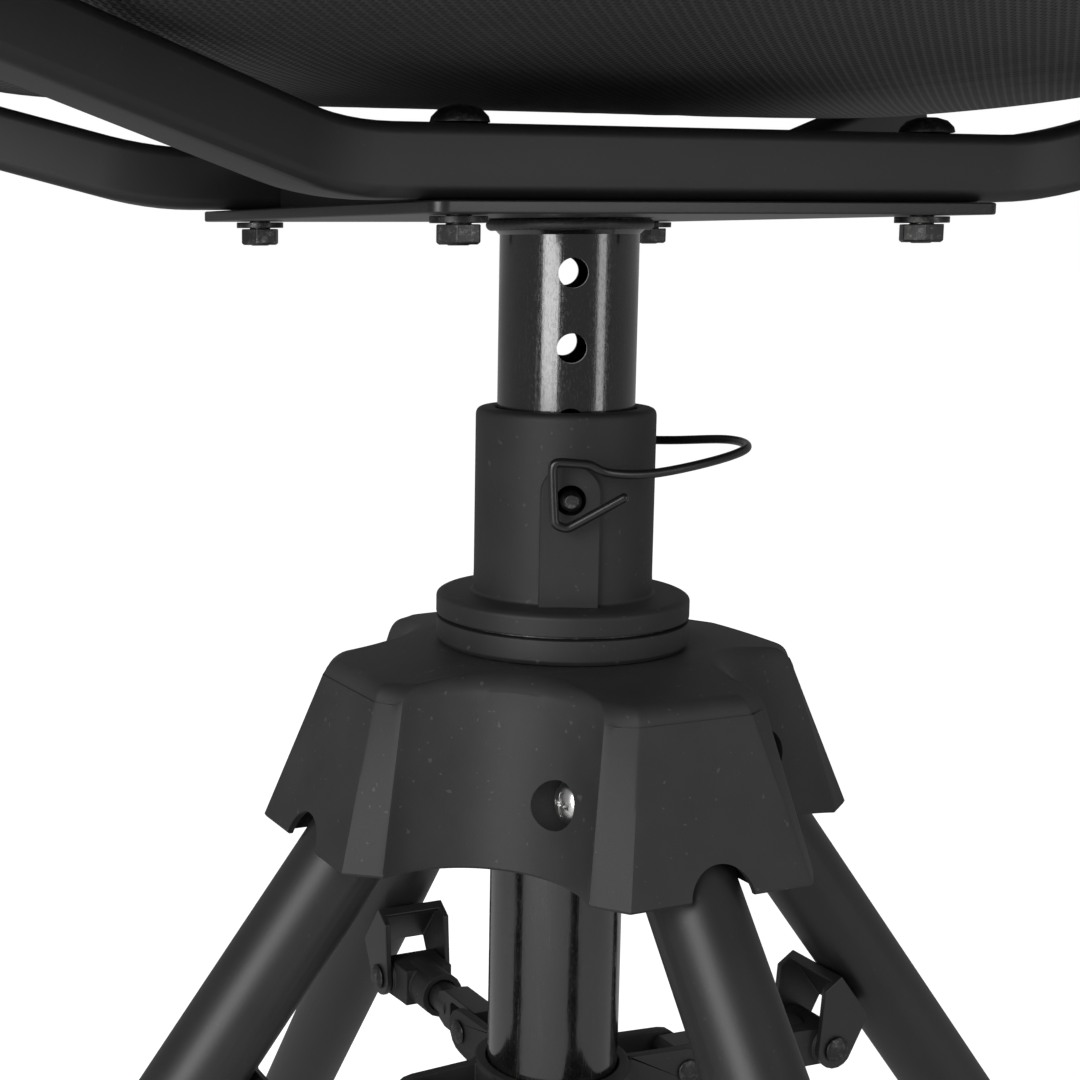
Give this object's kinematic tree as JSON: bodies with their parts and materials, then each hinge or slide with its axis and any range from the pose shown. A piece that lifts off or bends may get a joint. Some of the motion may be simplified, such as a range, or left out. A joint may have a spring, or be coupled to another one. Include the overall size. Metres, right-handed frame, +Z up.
{
  "type": "three leg stool",
  "caption": "Folding field stool with a swivelling, height-pinned sling seat on splayed tube legs that a sliding ring and struts hold open.",
  "frame": {"origin": "on the floor under the centre post", "axes": "+Z up, +X along the seat rails, -Y towards the sitter's knees, legs open along X and Y"},
  "size_m": [0.624, 0.624, 0.5392],
  "materials": {
    "hub_shell": "matte",
    "bearing_base": "matte",
    "swivel_washer": "bright",
    "pivot_screw_right": "bright",
    "pivot_screw_back": "bright",
    "pivot_screw_left": "bright",
    "pivot_screw_front": "bright",
    "swivel_collar": "matte",
    "lock_pin": "dark",
    "bail_wire": "dark",
    "seat_post": "gloss",
    "post_cap": "matte",
    "seat_plate": "satin",
    "seat_bolt_a": "dark",
    "seat_bolt_b": "dark",
    "seat_bolt_c": "dark",
    "seat_bolt_d": "dark",
    "bolt_washer_a": "dark",
    "bolt_washer_b": "dark",
    "bolt_washer_c": "dark",
    "bolt_washer_d": "dark",
    "bolt_nut_a": "dark",
    "bolt_nut_b": "dark",
    "bolt_nut_c": "dark",
    "bolt_nut_d": "dark",
    "rail_front": "satin",
    "rail_back": "satin",
    "cross_channel": "satin",
    "seat_frame": "satin",
    "seat_sling": "woven",
    "slider_ring": "matte",
    "ring_pin_right": "dark",
    "ring_pin_back": "dark",
    "ring_pin_left": "dark",
    "ring_pin_front": "dark",
    "leg_right": "satin",
    "foot_right": "matte",
    "leg_bracket_right": "satin",
    "strut_rivet_right": "dark",
    "strut_right": "satin",
    "strut_fitting_right": "matte",
    "leg_back": "satin",
    "foot_back": "matte",
    "leg_bracket_back": "satin",
    "strut_rivet_back": "dark",
    "strut_back": "satin",
    "strut_fitting_back": "matte",
    "leg_left": "satin",
    "foot_left": "matte",
    "leg_bracket_left": "satin",
    "strut_rivet_left": "dark",
    "strut_left": "satin",
    "strut_fitting_left": "matte",
    "leg_front": "satin",
    "foot_front": "matte",
    "leg_bracket_front": "satin",
    "strut_rivet_front": "dark",
    "strut_front": "satin",
    "strut_fitting_front": "matte"
  },
  "bodies": {
    "hub": {"hub_shell": "hub_shell", "bearing_base": "bearing_base", "swivel_washer": "swivel_washer", "pivot_screw_right": "pivot_screw_right", "pivot_screw_back": "pivot_screw_back", "pivot_screw_left": "pivot_screw_left", "pivot_screw_front": "pivot_screw_front"},
    "collar": {"swivel_collar": "swivel_collar"},
    "pin": {"lock_pin": "lock_pin"},
    "bail": {"bail_wire": "bail_wire"},
    "seat": {"seat_post": "seat_post", "post_cap": "post_cap", "seat_plate": "seat_plate", "seat_bolt_a": "seat_bolt_a", "seat_bolt_b": "seat_bolt_b", "seat_bolt_c": "seat_bolt_c", "seat_bolt_d": "seat_bolt_d", "bolt_washer_a": "bolt_washer_a", "bolt_washer_b": "bolt_washer_b", "bolt_washer_c": "bolt_washer_c", "bolt_washer_d": "bolt_washer_d", "bolt_nut_a": "bolt_nut_a", "bolt_nut_b": "bolt_nut_b", "bolt_nut_c": "bolt_nut_c", "bolt_nut_d": "bolt_nut_d", "rail_front": "rail_front", "rail_back": "rail_back", "cross_channel": "cross_channel", "seat_frame": "seat_frame", "seat_sling": "seat_sling"},
    "ring": {"slider_ring": "slider_ring", "ring_pin_right": "ring_pin_right", "ring_pin_back": "ring_pin_back", "ring_pin_left": "ring_pin_left", "ring_pin_front": "ring_pin_front"},
    "leg_right": {"leg_right": "leg_right", "foot_right": "foot_right", "leg_bracket_right": "leg_bracket_right", "strut_rivet_right": "strut_rivet_right"},
    "strut_right": {"strut_right": "strut_right", "strut_fitting_right": "strut_fitting_right"},
    "leg_back": {"leg_back": "leg_back", "foot_back": "foot_back", "leg_bracket_back": "leg_bracket_back", "strut_rivet_back": "strut_rivet_back"},
    "strut_back": {"strut_back": "strut_back", "strut_fitting_back": "strut_fitting_back"},
    "leg_left": {"leg_left": "leg_left", "foot_left": "foot_left", "leg_bracket_left": "leg_bracket_left", "strut_rivet_left": "strut_rivet_left"},
    "strut_left": {"strut_left": "strut_left", "strut_fitting_left": "strut_fitting_left"},
    "leg_front": {"leg_front": "leg_front", "foot_front": "foot_front", "leg_bracket_front": "leg_bracket_front", "strut_rivet_front": "strut_rivet_front"},
    "strut_front": {"strut_front": "strut_front", "strut_fitting_front": "strut_fitting_front"}
  },
  "joints": [
    {"name": "swivel", "type": "hinge", "parent": "hub", "child": "collar", "pos_m": [0, 0, 0.36], "axis": [0, 0, 1], "continuous": true},
    {"name": "height", "type": "slide", "parent": "collar", "child": "seat", "axis": [0, 0, 1], "range_m": [-0.04, 0.08]},
    {"name": "pin_pull", "type": "slide", "parent": "collar", "child": "pin", "axis": [0.454, 0.891, 0], "range_m": [0, 0.05]},
    {"name": "bail_swing", "type": "hinge", "parent": "pin", "child": "bail", "pos_m": [0.01362, 0.02673, 0.3956], "axis": [0, 0, 1], "range_deg": [0, 115.5]},
    {"name": "fold_right", "type": "hinge", "parent": "hub", "child": "leg_right", "pos_m": [0.0494, 0, 0.3212], "axis": [0, 1, 0], "range_deg": [0, 25]},
    {"name": "strut_turn_right", "type": "hinge", "parent": "leg_right", "child": "strut_right", "pos_m": [0.09397, 0, 0.21681], "axis": [0, 1, 0], "range_deg": [0, 61.5]},
    {"name": "fold_back", "type": "hinge", "parent": "hub", "child": "leg_back", "pos_m": [0, 0.0494, 0.3212], "axis": [-1, 0, 0], "range_deg": [0, 25]},
    {"name": "strut_turn_back", "type": "hinge", "parent": "leg_back", "child": "strut_back", "pos_m": [0, 0.09397, 0.21681], "axis": [-1, 0, 0], "range_deg": [0, 61.5]},
    {"name": "fold_left", "type": "hinge", "parent": "hub", "child": "leg_left", "pos_m": [-0.0494, 0, 0.3212], "axis": [0, -1, 0], "range_deg": [0, 25]},
    {"name": "strut_turn_left", "type": "hinge", "parent": "leg_left", "child": "strut_left", "pos_m": [-0.09397, 0, 0.21681], "axis": [0, -1, 0], "range_deg": [0, 61.5]},
    {"name": "fold_front", "type": "hinge", "parent": "hub", "child": "leg_front", "pos_m": [0, -0.0494, 0.3212], "axis": [1, 0, 0], "range_deg": [0, 25]},
    {"name": "strut_turn_front", "type": "hinge", "parent": "leg_front", "child": "strut_front", "pos_m": [0, -0.09397, 0.21681], "axis": [1, 0, 0], "range_deg": [0, 61.5]},
    {"name": "ring_lift", "type": "slide", "parent": "hub", "child": "ring", "axis": [0, 0, 1], "range_m": [0, 0.0401]}
  ],
  "couplings": [
    {"joint": "bail_swing", "follows": "pin_pull", "rad_per_m": 40.143},
    {"joint": "strut_turn_right", "follows": "fold_right", "ratio": 2.45},
    {"joint": "fold_back", "follows": "fold_right", "ratio": 1},
    {"joint": "strut_turn_back", "follows": "fold_right", "ratio": 2.45},
    {"joint": "fold_left", "follows": "fold_right", "ratio": 1},
    {"joint": "strut_turn_left", "follows": "fold_right", "ratio": 2.45},
    {"joint": "fold_front", "follows": "fold_right", "ratio": 1},
    {"joint": "strut_turn_front", "follows": "fold_right", "ratio": 2.45},
    {"joint": "ring_lift", "follows": "fold_right", "m_per_rad": 0.09167}
  ]
}
